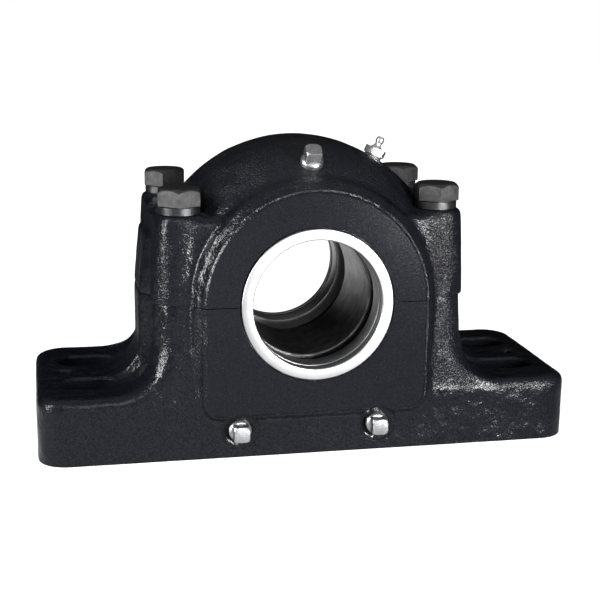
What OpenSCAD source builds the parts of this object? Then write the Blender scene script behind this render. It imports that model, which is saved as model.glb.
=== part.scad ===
// Split pillow block with a self-aligning roller bearing on an adapter sleeve.
// X runs along the base, Y along the shaft and Z up. The origin is at the
// middle of the mounting face, straight below the shaft's centre. The front
// is the side with the drain plugs, towards -Y.

/* [Base] */
// Length of the base, along X
base_len = 425; // [405:1:450]
// Width of the base, along the shaft
base_w = 164; // [158:1:172]
// Height of the feet
foot_h = 51; // [44:1:56]
// Radius of the upright corners of the feet
foot_corner_r = 23; // [12:1:32]
// Radius of the rounded top edges of the feet
foot_edge_r = 6; // [3:0.5:8]
// Height of the shaft's centre above the mounting face
shaft_h = 121; // [118:1:128]
// Radius of the hollow flare where a column meets its foot
flare_r = 32; // [20:1:40]
// Distance from an end of the base to the middle of a slot
slot_end = 41; // [38:1:44]
// Distance between the slots along Y, centre to centre
slot_dy = 66; // [56:1:76]
// Length of a slot, end to end
slot_l = 46; // [38:1:50]
// Width of a slot
slot_w = 28; // [20:1:32]
// Diameter of the small drill marks on the feet
mark_d = 8; // [5:0.5:10]
// Distance from an end of the base to a drill mark
mark_end = 23.5; // [16:0.5:30]

/* [Columns and cap] */
// Distance between the cap bolts along X
bolt_dx = 202; // [200:1:208]
// Distance between the cap bolts along Y
bolt_dy = 112; // [108:1:116]
// Radius of a column at the top of the cap
column_r = 20; // [18:0.5:22]
// How much a column grows from the cap's top down to the split
column_taper = 3; // [0:0.5:4]
// How far the cap's columns stand out over the base at the split
split_step = 2.5; // [0:0.5:3]
// How much a column grows from the split down to the foot
column_flare = 3.5; // [0:0.5:5]
// Height of the cap bolts' seats above the mounting face
seat_h = 188.5; // [184:0.5:194]
// How far the shoulders lie below the bolt seats
shoulder_drop = 2.5; // [1:0.5:4]
// Radius of the cap's rounded edges
cap_edge_r = 5; // [2:0.5:6]
// Distance of the walls between the columns from the middle, along Y
wall_y = 76; // [74:1:79]
// Distance of the end bosses' faces from the middle at the split, along X
boss_x = 130.5; // [127:0.5:133]
// How far an end boss leans back from the split up to its top
boss_lean = 4.5; // [0:0.5:6]
// Width of an end boss's face
boss_w = 48; // [36:1:56]
// Height of the end bosses' tops above the mounting face
boss_h = 168; // [160:1:178]
// Radius of the crown over the bearing
crown_r = 119; // [116:0.5:124]
// Width of the crown's straight middle band
crown_band = 26; // [16:1:36]
// Radius of the crown's curved flanks
crown_flank_r = 86; // [82:1:92]

/* [Hub] */
// Radius of the hub's flat faces
hub_r = 85.5; // [82:0.5:87]
// Distance over the two hub faces
hub_w = 180; // [177:1:190]
// Height of the hub's lower edge above the mounting face
hub_low = 36; // [32:1:42]
// Radius of the hub's lower corners
hub_corner_r = 11; // [6:1:16]
// Radius of the hollow beside the hub
hub_fillet_r = 9; // [5:0.5:10]

/* [Bearing] */
// Diameter of the shaft
shaft_d = 100.0125; // [99:0.0125:101]
// Outer diameter of the bearing
bearing_d = 200; // [196:1:202]
// Width of the bearing
bearing_w = 53; // [51:0.5:55]
// Small diameter of the bearing's tapered bore
taper_d = 110; // [109:0.5:112]
// Length in which the taper grows by one
taper_ratio = 12; // [12:12:30]
// Radius of the outer race's spherical track
track_r = 91; // [90:0.5:92]
// Largest diameter of a roller
roller_d = 22; // [21:0.25:23]
// Length of a roller
roller_l = 19; // [17:0.5:19.5]
// Rollers in each of the two rows
roller_count = 19; // [16:1:20]
// Angle between the line of contact and the bearing's middle plane
contact_angle = 10.2; // [10:0.1:11]
// Thickness of the cage's wall
cage_t = 5.5; // [4:0.25:6]
// Outer radius of the guide ring between the rows
guide_r = 76; // [74:0.5:78]

/* [Sleeve, nut and locating rings] */
// Distance from the middle to the sleeve's front end
sleeve_front = 49; // [48:0.5:52]
// Distance from the middle to the sleeve's rear end
sleeve_rear = 33; // [30:0.5:38]
// Width of the slit along the sleeve
slit_w = 3; // [2:0.5:5]
// Outer diameter of the lock nut
nut_d = 144; // [138:1:150]
// Width of the lock nut
nut_w = 18; // [15:0.5:20]
// Thickness of the tab washer
tab_t = 2.5; // [1.5:0.25:3]
// Tabs around the tab washer
tab_count = 17; // [9:2:21]
// Width of each locating ring
locating_w = 9; // [6:0.5:11]
// Opening of the locating rings, as an angle
locating_gap = 40; // [20:5:60]

/* [Seals] */
// Outer diameter of a seal ring's collar
seal_d = 117.4; // [114:0.2:120]
// Length of a seal ring along the shaft
seal_w = 28.8; // [27:0.2:32]
// How far a seal ring's face stands out of the hub
seal_out = 1.5; // [0.5:0.25:3]
// Gap around the collar
seal_gap = 1.2; // [0.9:0.1:1.8]
// How far the fins reach beyond the collar
fin_h = 10; // [6:0.5:12]
// Thickness of a fin
fin_t = 3; // [2:0.25:3.5]
// Gap on each side of a fin
fin_gap = 1; // [0.8:0.1:1.2]
// Thickness of the O-ring's cord
o_ring_t = 3.4; // [2.6:0.1:4]

/* [Fasteners] */
// Diameter of a cap bolt
bolt_d = 19.05; // [17:0.05:21]
// Width across the flats of a bolt's head
head_af = 31.75; // [30:0.25:34]
// Height of a bolt's head
head_h = 14; // [11:0.5:16]
// Length of a cap bolt under its head
bolt_l = 108; // [98:1:112]
// Outer diameter of a lock washer
washer_d = 32; // [30:0.5:33]
// Thickness of a lock washer
washer_t = 5.5; // [4:0.25:7]
// Diameter of a dowel pin
dowel_d = 12.7; // [10:0.1:13]
// Length of a dowel pin
dowel_l = 40; // [30:1:50]
// Distance of a dowel pin from the middle, along X
dowel_x = 115; // [113:0.5:117]

/* [Plugs and grease fitting] */
// Diameter of a plug's body
plug_d = 17.6; // [16:0.2:19]
// Width across the flats of a plug's square head
square_af = 12; // [10:0.25:13]
// Length of a plug's square head
square_l = 9; // [7:0.5:11]
// How far a plug's body stands out of the casting
plug_out = 4.5; // [3:0.5:6]
// Height of the drain plugs above the mounting face
drain_h = 22; // [21:0.5:24]
// Distance of the left drain plug from the middle
drain_left = 59; // [50:1:62]
// Distance of the right drain plug from the middle
drain_right = 50; // [48:1:60]
// Diameter of the spot face around a drain plug
drain_face_d = 31; // [26:1:34]
// Distance of the crown's plug from the middle, along Y
crown_plug_y = 60; // [56:1:64]
// Place of the grease fitting around the crown, from the top
fitting_angle = 32; // [26:1:36]
// Lean of the grease fitting from upright
fitting_lean = 25; // [20:1:34]
// Width across the flats of the fitting's hexagon
fitting_af = 15.9; // [14:0.1:17]
// Diameter of the fitting's check ball
ball_d = 2.6; // [2:0.1:3]

/* [Hidden] */
$fn = 96;
small_fn = 32;

paint = [0.11, 0.115, 0.135];
steel = [0.72, 0.72, 0.73];
dark_steel = [0.30, 0.30, 0.31];
rubber = [0.08, 0.08, 0.08];
brass = [0.70, 0.55, 0.25];

// Clearances
seat_gap = 0.04;
running_gap = 0.06;
thread_gap = 0.1;
hole_gap = 0.9;
side_gap = 0.1;
head_gap = 0.7;
roller_gap = 0.3;
pocket_gap = 0.3;
far = 500;

// Housing
bolt_x = bolt_dx / 2;
bolt_y = bolt_dy / 2;
split_r = column_r + column_taper;
base_split_r = split_r - split_step;
column_foot_r = base_split_r + column_flare;
end_x = bolt_x + column_r - 1;
lean_h = foot_h - foot_edge_r - 8;
shoulder_h = seat_h - shoulder_drop;
boss_root_w = boss_w + 36;
hub_y = hub_w / 2;
front_y = base_w / 2;
crown_centre = crown_r - crown_flank_r;
crown_half = crown_band / 2;
slot_x = base_len / 2 - slot_end;
slot_y = slot_dy / 2;
mark_x = base_len / 2 - mark_end;
mark_y = 2;
mark_depth = 3;

// Bearing, in the plane through the shaft's axis
shaft_r = shaft_d / 2;
bearing_r = bearing_d / 2;
bearing_y = bearing_w / 2;
taper_r = taper_d / 2;
roller_r = roller_d / 2;
pitch = track_r - roller_gap - roller_r;
roller_y = pitch * sin(contact_angle);
roller_rad = pitch * cos(contact_angle);
barrel_r = track_r - 2 * roller_gap - 1;
roller_end_r = roller_r - barrel_r + sqrt(pow(barrel_r, 2) - pow(roller_l / 2, 2));
groove_r = barrel_r + 1;
contact_y = (pitch - roller_r - roller_gap) * sin(contact_angle);
contact_rad = (pitch - roller_r - roller_gap) * cos(contact_angle);
groove_y = contact_y + groove_r * sin(contact_angle);
groove_rad = contact_rad + groove_r * cos(contact_angle);
inner_mid_r = groove_rad - sqrt(pow(groove_r, 2) - pow(groove_y, 2));
flange_r = inner_mid_r - 1;
cage_y = roller_y + 0.45 * roller_l;
cage_out_r = sqrt(pow(track_r, 2) - pow(cage_y, 2)) - 0.8;
cage_in_r = cage_out_r - cage_t;
guide_y = roller_y - cos(contact_angle) * roller_l / 2 - sin(contact_angle) * roller_end_r - 0.4;

// Seat of the bearing and the chambers beside it
seat_y = bearing_y + side_gap + locating_w + side_gap;
chamber_r = bearing_r - 14;
chamber_y = hub_y - 36;

// Sleeve and nut
sleeve_wall_r = taper_r - 0.02;
thread_r = taper_r - 0.3;
washer_y = bearing_y + side_gap;
nut_y = washer_y + tab_t + side_gap;

// Seals
seal_face_y = hub_y + seal_out;
seal_back_y = seal_face_y - seal_w;
seal_r = seal_d / 2;
seal_bore_r = shaft_r + 0.04;
wall_bore_r = seal_r + seal_gap;
fin_r = seal_r + fin_h;
fin_slot_r = fin_r + seal_gap;
fin_pitch = fin_t + 2 * fin_gap + 4;
fin_y = [for (i = [0, 1]) seal_back_y + 6 + i * fin_pitch];
o_ring_y = seal_face_y - 9;
o_ring_r = shaft_r + 0.05 + o_ring_t / 2;

// Fasteners
bolt_r = bolt_d / 2;
head_room_r = head_af / cos(30) / 2 + head_gap;
washer_hole_r = bolt_r + 0.3;
thread_end_h = seat_h + washer_t - bolt_l;
chamfer = 1.5;
washer_slit = 2;
washer_slit_lean = 35;

// Plugs and fitting
plug_r = plug_d / 2;
plug_in = 12;
plug_hole_in = plug_in + 1;
face_depth = 0.8;
passage_r = plug_r - 4;
crown_face_d = plug_d + 5;
drain_face_y = front_y - face_depth;
drain_slope = 18;
drain_back = 20;
crown_plug_r = crown_centre + sqrt(pow(crown_flank_r, 2) - pow(crown_plug_y - crown_half, 2));
crown_plug_tilt = asin((crown_plug_y - crown_half) / crown_flank_r);
fitting_x = crown_r * sin(fitting_angle);
fitting_h = shaft_h + crown_r * cos(fitting_angle);
fitting_r = 6.7;
fitting_face_d = fitting_af + 4.5;
fitting_in = (crown_r - bearing_r) * 0.58;
collar_h = 2.6;
hex_h = 6;
tip_h = 10;
ball_r = ball_d / 2;
ball_h = collar_h + hex_h + tip_h - 0.6 - ball_r - 0.1;

// Turns a profile drawn as radius by distance along Y around the shaft's axis
module about_shaft(angle = 360) {
    translate([0, 0, shaft_h])
        rotate([-90, 0, 0])
            rotate_extrude(angle = angle)
                children();
}

// Extrudes an outline drawn as X by Z along Y
module along_y(length) {
    rotate([90, 0, 0])
        linear_extrude(length, center = true)
            children();
}

// Extrudes an outline drawn as Y by Z along X
module along_x(length) {
    rotate([90, 0, 90])
        linear_extrude(length, center = true)
            children();
}

// A plain ring in the profile of about_shaft
module band(r0, r1, y0, y1) {
    translate([r0, y0])
        square([r1 - r0, y1 - y0]);
}

// Places its children at the four cap bolts
module at_bolt(side_x, side_y, z = 0) {
    translate([side_x * bolt_x, side_y * bolt_y, z])
        children();
}

// Outline standing on the X axis, with rounded upper corners
module top_rounded(l, h, r) {
    translate([-l / 2, 0])
        square([l, h - r]);
    translate([-l / 2 + r, 0])
        square([l - 2 * r, h]);
    for (s = [-1, 1])
        translate([s * (l / 2 - r), h - r])
            circle(r);
}

// Corner of a wall and a floor, filled to a hollow curve
module hollow_corner(r) {
    difference() {
        translate([-1, -1])
            square([r + 1, r + 1]);
        translate([r, r])
            circle(r);
    }
}

// Post with a rolled top edge, wider at its foot if r0 says so
module rolled_post(r0, r1, h, edge) {
    cylinder(r1 = r0, r2 = r1, h = h - edge);
    rotate_extrude() {
        square([r1 - edge, h]);
        translate([r1 - edge, h - edge])
            circle(edge);
    }
}

// Slab with rounded upright corners and rolled top edges
module rounded_slab(l, w, h, corner, edge) {
    along_x(l - 2 * corner)
        top_rounded(w, h, edge);
    along_y(w - 2 * corner)
        top_rounded(l, h, edge);
    for (sx = [-1, 1], sy = [-1, 1])
        translate([sx * (l / 2 - corner), sy * (w / 2 - corner), 0])
            rolled_post(corner, corner, h, edge);
}

// Walls between the four columns
module wall_plan() {
    square([2 * bolt_x, 2 * wall_y], center = true);
    square([2 * end_x, 2 * bolt_y], center = true);
}

// Boss for a dowel pin at each end
module boss_plan() {
    for (s = [-1, 1])
        polygon([
            [s * (end_x - 10), -boss_root_w / 2], [s * end_x, -boss_root_w / 2],
            [s * boss_x, -boss_w / 2], [s * boss_x, boss_w / 2],
            [s * end_x, boss_root_w / 2], [s * (end_x - 10), boss_root_w / 2]
        ]);
}

// Side of the cap's end bosses, leaning back to a rolled top edge
module boss_side() {
    h = boss_h - shaft_h;
    top_x = boss_x - boss_lean;
    hull() {
        translate([-boss_x, 0])
            square([2 * boss_x, 1]);
        for (s = [-1, 1])
            translate([s * (top_x - cap_edge_r), h - cap_edge_r])
                circle(cap_edge_r);
    }
}

// Hollow flare around the foot of a column
module column_flare_ring() {
    rotate_extrude()
        difference() {
            polygon([
                [0, -foot_edge_r], [column_foot_r, -foot_edge_r], [column_foot_r + flare_r, 0],
                [column_foot_r + flare_r, flare_r], [0, flare_r]
            ]);
            translate([column_foot_r + flare_r, flare_r])
                circle(flare_r);
        }
}

// Space that the columns of the base stay inside
module base_envelope() {
    along_x(2 * far)
        polygon([
            [-front_y, 0], [front_y, 0], [front_y, lean_h],
            [bolt_y + base_split_r, shaft_h], [-bolt_y - base_split_r, shaft_h],
            [-front_y, lean_h]
        ]);
}

// Lower half of the hub, from the split down to its lower edge
module base_hub() {
    along_y(hub_w) {
        translate([-hub_r, hub_low + hub_corner_r])
            square([2 * hub_r, shaft_h - hub_low - hub_corner_r]);
        translate([-hub_r + hub_corner_r, hub_low])
            square([2 * (hub_r - hub_corner_r), shaft_h - hub_low]);
        for (s = [-1, 1])
            translate([s * (hub_r - hub_corner_r), hub_low + hub_corner_r])
                circle(hub_corner_r);
    }
}

// Hollow between the hub's straight sides and the walls
module base_hub_fillets() {
    for (sx = [-1, 1], sy = [-1, 1])
        translate([sx * hub_r, sy * wall_y, foot_h - foot_edge_r])
            mirror([sx < 0 ? 1 : 0, 0, 0])
                mirror([0, sy < 0 ? 1 : 0, 0])
                    linear_extrude(shaft_h - foot_h + foot_edge_r)
                        hollow_corner(hub_fillet_r);
}

// Rough shape of the base
module base_casting() {
    rounded_slab(base_len, base_w, foot_h, foot_corner_r, foot_edge_r);
    intersection() {
        union() {
            linear_extrude(shaft_h)
                wall_plan();
            linear_extrude(shaft_h)
                boss_plan();
            for (sx = [-1, 1], sy = [-1, 1]) {
                at_bolt(sx, sy, foot_h)
                    cylinder(r1 = column_foot_r, r2 = base_split_r, h = shaft_h - foot_h);
                at_bolt(sx, sy, foot_h)
                    column_flare_ring();
            }
            for (s = [-1, 1]) {
                translate([s * end_x, 0, foot_h])
                    mirror([s < 0 ? 1 : 0, 0, 0])
                        along_y(2 * bolt_y)
                            hollow_corner(flare_r);
                translate([s * boss_x, 0, foot_h])
                    mirror([s < 0 ? 1 : 0, 0, 0])
                        along_y(boss_w)
                            hollow_corner(flare_r);
            }
        }
        base_envelope();
    }
    base_hub();
    base_hub_fillets();
}

// Profile of the crown, as radius by distance along Y
module crown_profile() {
    intersection() {
        translate([0, -wall_y])
            square([crown_r + 1, 2 * wall_y]);
        union() {
            translate([crown_centre - crown_flank_r, -crown_half])
                square([2 * crown_flank_r, crown_band]);
            for (s = [-1, 1])
                translate([crown_centre, s * crown_half])
                    circle(crown_flank_r);
        }
    }
}

// Profile of the cap's hub with the hollow around it
module hub_profile() {
    band(0, hub_r, -hub_y, hub_y);
    for (s = [-1, 1])
        translate([hub_r, s * wall_y])
            mirror([0, s < 0 ? 1 : 0])
                hollow_corner(hub_fillet_r);
}

// Rough shape of the cap
module cap_casting() {
    translate([0, 0, shaft_h])
        intersection() {
            linear_extrude(shoulder_h - shaft_h)
                wall_plan();
            along_x(2 * far)
                top_rounded(2 * wall_y, shoulder_h - shaft_h, cap_edge_r);
            along_y(2 * far)
                top_rounded(2 * end_x, shoulder_h - shaft_h, cap_edge_r);
        }
    translate([0, 0, shaft_h])
        intersection() {
            linear_extrude(boss_h - shaft_h)
                boss_plan();
            along_y(2 * far)
                boss_side();
        }
    for (sx = [-1, 1], sy = [-1, 1])
        at_bolt(sx, sy, shaft_h)
            rolled_post(split_r, column_r, seat_h - shaft_h, cap_edge_r - 1);
    intersection() {
        union() {
            about_shaft()
                crown_profile();
            about_shaft()
                hub_profile();
        }
        translate([-far, -far, shaft_h])
            cube(2 * far);
    }
}

// Everything that is turned out of both castings around the shaft
module housing_bore() {
    about_shaft() {
        band(0, bearing_r + seat_gap, -seat_y, seat_y);
        band(0, chamber_r, -chamber_y, chamber_y);
        band(0, wall_bore_r, -hub_y - 1, hub_y + 1);
        for (s = [-1, 1], y = fin_y)
            band(0, fin_slot_r, min(s * (y - fin_gap), s * (y + fin_t + fin_gap)),
                 max(s * (y - fin_gap), s * (y + fin_t + fin_gap)));
    }
}

// Room for the bolt heads and washers over their seats
module head_room() {
    for (sx = [-1, 1], sy = [-1, 1])
        at_bolt(sx, sy, seat_h)
            cylinder(r = head_room_r, h = washer_t + 3 * head_h);
}

// Holes for the cap bolts and the dowel pins
module bolt_holes(r, z0, z1) {
    for (sx = [-1, 1], sy = [-1, 1])
        at_bolt(sx, sy, z0)
            cylinder(r = r, h = z1 - z0, $fn = small_fn);
}
module dowel_holes() {
    for (s = [-1, 1])
        translate([s * dowel_x, 0, shaft_h])
            cylinder(r = dowel_d / 2 + 0.02, h = dowel_l + 1, center = true, $fn = small_fn);
}

// A slot through a foot
module foot_slot() {
    straight = slot_l - slot_w;
    translate([0, 0, -1])
        linear_extrude(foot_h + flare_r) {
            square([straight, slot_w], center = true);
            for (s = [-1, 1])
                translate([s * straight / 2, 0])
                    circle(slot_w / 2);
        }
}

// Drill mark between the slots of a foot
module drill_mark() {
    translate([0, 0, -mark_depth])
        cylinder(d = mark_d, h = mark_depth + 1, $fn = small_fn);
    translate([0, 0, -mark_depth - mark_d / 4])
        cylinder(d1 = mark_d / 20, d2 = mark_d, h = mark_d / 4, $fn = small_fn);
}

// Places its children at a drain plug, with the plug's axis as Z, outwards
module at_drain(x) {
    translate([x, -drain_face_y, drain_h])
        rotate([90, 0, 0])
            children();
}

// Places its children at the crown's plug, with its axis as Z, outwards
module at_crown_plug() {
    translate([0, -crown_plug_y, shaft_h + crown_plug_r - face_depth])
        rotate([crown_plug_tilt, 0, 0])
            children();
}

// Places its children at the grease fitting, with its axis as Z, outwards
module at_fitting() {
    translate([fitting_x, 0, fitting_h - 1.5 * face_depth])
        rotate([0, fitting_lean, 0])
            children();
}

// Hole for a plug, its spot face and the passage behind it
module plug_hole(face_d, passage_l) {
    cylinder(d = face_d, h = drain_back);
    translate([0, 0, -plug_hole_in])
        cylinder(r = plug_r + thread_gap, h = plug_hole_in + 1, $fn = small_fn);
    translate([0, 0, -passage_l])
        cylinder(r = passage_r, h = passage_l, $fn = small_fn);
}

// Sloping passage from the bearing chamber down to a drain hole
module drain_passage(x) {
    rise = shaft_h - sqrt(pow(chamber_r, 2) - pow(x, 2)) - drain_h;
    translate([x, -drain_face_y + drain_back, drain_h])
        rotate([-drain_slope, 0, 0])
            cylinder(r = passage_r - 0.6, h = rise / cos(drain_slope) + 8, $fn = small_fn);
}

module housing_base() {
    color(paint)
        difference() {
            base_casting();
            housing_bore();
            bolt_holes(bolt_r + thread_gap, thread_end_h - 6, shaft_h + 1);
            dowel_holes();
            for (sx = [-1, 1], sy = [-1, 1])
                translate([sx * slot_x, sy * slot_y, 0])
                    foot_slot();
            for (s = [-1, 1])
                translate([s * mark_x, mark_y, foot_h])
                    drill_mark();
            for (x = [-drain_left, drain_right]) {
                at_drain(x)
                    plug_hole(drain_face_d, drain_back + 4);
                drain_passage(x);
            }
        }
}

module housing_cap() {
    color(paint)
        difference() {
            cap_casting();
            housing_bore();
            bolt_holes(bolt_r + hole_gap, shaft_h - 1, seat_h + 1);
            head_room();
            dowel_holes();
            at_crown_plug()
                plug_hole(crown_face_d, crown_plug_r - chamber_r + 12);
            at_fitting() {
                cylinder(d = fitting_face_d, h = 12);
                translate([0, 0, -fitting_in - 1])
                    cylinder(r = fitting_r + thread_gap, h = fitting_in + 2, $fn = small_fn);
                translate([0, 0, bearing_r - crown_r - 11])
                    cylinder(r = ball_d, h = crown_r - bearing_r + 11, $fn = small_fn);
            }
        }
}

// Hexagonal cap bolt, standing on its washer at z = 0
module cap_bolt(turn) {
    color(dark_steel) {
        intersection() {
            rotate([0, 0, turn])
                cylinder(d = head_af / cos(30), h = head_h, $fn = 6);
            union() {
                cylinder(d = head_af * 1.16, h = head_h - 3);
                translate([0, 0, head_h - 3])
                    cylinder(d1 = head_af * 1.16, d2 = head_af * 0.92, h = 3);
            }
        }
        translate([0, 0, chamfer - bolt_l])
            cylinder(r = bolt_r, h = bolt_l - chamfer + 0.5, $fn = small_fn);
        translate([0, 0, -bolt_l])
            cylinder(r1 = bolt_r - chamfer, r2 = bolt_r, h = chamfer, $fn = small_fn);
    }
}

// Split lock washer, standing on its seat at z = 0
module lock_washer(turn) {
    color(steel)
        rotate([0, 0, turn])
            difference() {
                cylinder(d = washer_d, h = washer_t);
                translate([0, 0, -1])
                    cylinder(r = washer_hole_r, h = washer_t + 2);
                translate([washer_d / 2, 0, washer_t / 2])
                    rotate([washer_slit_lean, 0, 0])
                        cube([washer_d - 2 * washer_hole_r, washer_slit, 4 * washer_t], center = true);
            }
}

module dowel_pin(side) {
    color(steel)
        translate([side * dowel_x, 0, shaft_h]) {
            cylinder(d = dowel_d, h = dowel_l - 3, center = true, $fn = small_fn);
            for (s = [-1, 1])
                mirror([0, 0, s < 0 ? 1 : 0])
                    translate([0, 0, dowel_l / 2 - 1.5])
                        cylinder(d1 = dowel_d, d2 = dowel_d - 3, h = 1.5, $fn = small_fn);
        }
}

// Outer race with a spherical track, a lubrication groove and three holes
module outer_race() {
    color(steel)
        difference() {
            about_shaft()
                difference() {
                    band(80, bearing_r, -bearing_y, bearing_y);
                    circle(track_r);
                    band(bearing_r - 2, bearing_r + 1, -4, 4);
                }
            for (a = [0, 120, 240])
                translate([0, 0, shaft_h])
                    rotate([0, a, 0])
                        cylinder(d = 5, h = far, $fn = small_fn);
        }
}

// Open ring that holds the outer race sideways in its seat
module locating_ring(side) {
    start = bearing_y + side_gap;
    color(dark_steel)
        difference() {
            about_shaft()
                band(bearing_r - 11, bearing_r - 0.2,
                     side > 0 ? start : -start - locating_w,
                     side > 0 ? start + locating_w : -start);
            translate([0, 0, shaft_h])
                rotate([90, 0, 0])
                    linear_extrude(far, center = true)
                        polygon([
                            [0, 0], [-far * sin(locating_gap / 2), -far * cos(locating_gap / 2)],
                            [far * sin(locating_gap / 2), -far * cos(locating_gap / 2)]
                        ]);
        }
}

// Inner race with two hollow tracks and a tapered bore
module inner_race() {
    rear_r = taper_r + bearing_w / taper_ratio / 2;
    color(steel)
        about_shaft()
            difference() {
                polygon([
                    [taper_r, -bearing_y], [flange_r, -bearing_y],
                    [flange_r, bearing_y], [rear_r, bearing_y]
                ]);
                for (s = [-1, 1])
                    translate([groove_rad, s * groove_y])
                        circle(groove_r, $fn = 360);
            }
}

// One barrel roller, with its axis along Z and its middle at the origin
module roller() {
    rotate_extrude()
        intersection() {
            translate([0, -roller_l / 2])
                square([roller_r, roller_l]);
            translate([roller_r - barrel_r, 0])
                circle(barrel_r, $fn = 360);
        }
}

// Places its children at roller i of a row, with the roller's axis as Z, outwards
module at_roller(side, i) {
    translate([0, 0, shaft_h])
        rotate([0, (i + (side > 0 ? 0.5 : 0)) * 360 / roller_count, 0])
            translate([0, side * roller_y, roller_rad])
                rotate([side > 0 ? -90 - contact_angle : 90 + contact_angle, 0, 0])
                    children();
}

module roller_row(side) {
    color(steel)
        for (i = [0 : roller_count - 1])
            at_roller(side, i)
                roller();
}

// One-piece cage with a pocket for each roller
module roller_cage() {
    color(brass)
        difference() {
            about_shaft()
                band(cage_in_r, cage_out_r, -cage_y, cage_y);
            for (side = [-1, 1], i = [0 : roller_count - 1])
                at_roller(side, i)
                    translate([0, 0, -roller_l / 2 - pocket_gap])
                        cylinder(r = roller_r + pocket_gap, h = 2 * roller_l);
        }
}

module guide_ring() {
    color(steel)
        about_shaft()
            band(inner_mid_r + running_gap, guide_r, -guide_y, guide_y);
}

// Tapered sleeve with a slit, a threaded front end and a straight bore
module adapter_sleeve() {
    start = -bearing_y - 1;
    rear_r = sleeve_wall_r + (sleeve_rear + bearing_y) / taper_ratio / 2;
    front_r = sleeve_wall_r - 1 / taper_ratio / 2;
    color(steel)
        difference() {
            about_shaft()
                polygon([
                    [shaft_r + 1, -sleeve_front], [thread_r - 1, -sleeve_front],
                    [thread_r, -sleeve_front + 1], [thread_r, start], [front_r, start],
                    [rear_r, sleeve_rear], [shaft_r + 1, sleeve_rear],
                    [shaft_r, sleeve_rear - 1], [shaft_r, -sleeve_front + 1]
                ]);
            translate([-slit_w / 2, -far, shaft_h])
                cube([slit_w, 2 * far, far]);
        }
}

// Slotted lock nut
module lock_nut() {
    slots = 4;
    color(dark_steel)
        difference() {
            about_shaft()
                polygon([
                    [thread_r + thread_gap, -nut_y - nut_w], [nut_d / 2 - 3, -nut_y - nut_w],
                    [nut_d / 2, -nut_y - nut_w + 3], [nut_d / 2, -nut_y], [thread_r + thread_gap, -nut_y]
                ]);
            for (i = [0 : slots - 1])
                translate([0, 0, shaft_h])
                    rotate([0, i * 360 / slots, 0])
                        translate([-6, -nut_y - nut_w - 1, nut_d / 2 - 5])
                            cube([12, nut_w + 2, 20]);
        }
}

// Tab washer with one tab bent into a slot of the nut
module tab_washer() {
    color(steel) {
        translate([0, -washer_y, shaft_h])
            rotate([90, 0, 0])
                linear_extrude(tab_t)
                    difference() {
                        union() {
                            circle(nut_d / 2 - 5);
                            for (i = [1 : tab_count - 1])
                                rotate(i * 360 / tab_count)
                                    translate([-4, 0])
                                        square([8, nut_d / 2 + 4]);
                            translate([-4, 0])
                                square([8, nut_d / 2 - 1]);
                        }
                        circle(taper_r + 0.4);
                    }
        translate([-4, -washer_y - tab_t - 8, shaft_h + nut_d / 2 - 3.5])
            cube([8, 8.1, tab_t]);
    }
}

// Seal ring with two fins and a groove for its O-ring
module seal_ring(side) {
    fins = [for (y = [fin_y[1], fin_y[0]])
        each [[seal_r, y + fin_t], [fin_r, y + fin_t], [fin_r, y], [seal_r, y]]];
    color(steel)
        about_shaft()
            mirror([0, side < 0 ? 1 : 0])
                difference() {
                    polygon(concat(
                        [[seal_bore_r + 0.6, seal_face_y], [seal_r - 0.6, seal_face_y],
                         [seal_r, seal_face_y - 0.6]],
                        fins,
                        [[seal_r, seal_back_y], [seal_bore_r + 0.6, seal_back_y],
                         [seal_bore_r, seal_back_y + 0.6], [seal_bore_r, seal_face_y - 0.6]]
                    ));
                    band(seal_bore_r - 1, o_ring_r + o_ring_t / 2 + 0.02,
                         o_ring_y - o_ring_t * 0.65, o_ring_y + o_ring_t * 0.65);
                }
}

module seal_o_ring(side) {
    color(rubber)
        about_shaft()
            translate([o_ring_r, side * o_ring_y])
                circle(o_ring_t / 2);
}

// Square-head pipe plug, screwed in along Z up to the origin
module pipe_plug() {
    color(steel) {
        translate([0, 0, -plug_in])
            cylinder(r = plug_r, h = plug_in + plug_out - chamfer);
        translate([0, 0, plug_out - chamfer])
            cylinder(r1 = plug_r, r2 = plug_r - chamfer, h = chamfer);
        intersection() {
            translate([-square_af / 2, -square_af / 2, 0])
                cube([square_af, square_af, plug_out + square_l]);
            union() {
                cylinder(d = square_af * 1.36, h = plug_out + square_l - chamfer);
                translate([0, 0, plug_out + square_l - chamfer])
                    cylinder(d1 = square_af * 1.36, d2 = square_af * 1.1, h = chamfer);
            }
        }
    }
}

// Grease fitting with a hexagon, a neck and a button head
module grease_fitting() {
    color(steel)
        at_fitting()
            difference() {
                union() {
                    intersection() {
                        translate([0, 0, collar_h])
                            cylinder(d = fitting_af / cos(30), h = hex_h, $fn = 6);
                        translate([0, 0, collar_h])
                            cylinder(d1 = fitting_af * 1.1, d2 = fitting_af * 1.3, h = hex_h);
                    }
                    rotate_extrude()
                        polygon([
                            [0, -fitting_in], [fitting_r - 1, -fitting_in],
                            [fitting_r, 1 - fitting_in], [fitting_r, 0],
                            [fitting_r + 0.6, 0.4], [fitting_r + 0.6, collar_h + 0.1],
                            [5.2, collar_h + hex_h], [4.4, collar_h + hex_h + 0.6],
                            [2.9, collar_h + hex_h + 2.6], [2.6, collar_h + hex_h + 4.2],
                            [3.4, collar_h + hex_h + 5.6], [3.4, collar_h + hex_h + 8.2],
                            [2.2, collar_h + hex_h + tip_h], [0, collar_h + hex_h + tip_h]
                        ]);
                }
                translate([0, 0, -fitting_in - 1])
                    cylinder(r = ball_r + running_gap, h = fitting_in + collar_h + hex_h + tip_h + 0.4,
                             $fn = small_fn);
                translate([0, 0, collar_h + hex_h + 9])
                    cylinder(r = ball_r - 0.3, h = 2, $fn = small_fn);
            }
}

// Ball that closes the tip of the grease fitting
module check_ball() {
    color(steel)
        at_fitting()
            translate([0, 0, ball_h])
                sphere(ball_r, $fn = small_fn);
}

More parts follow.
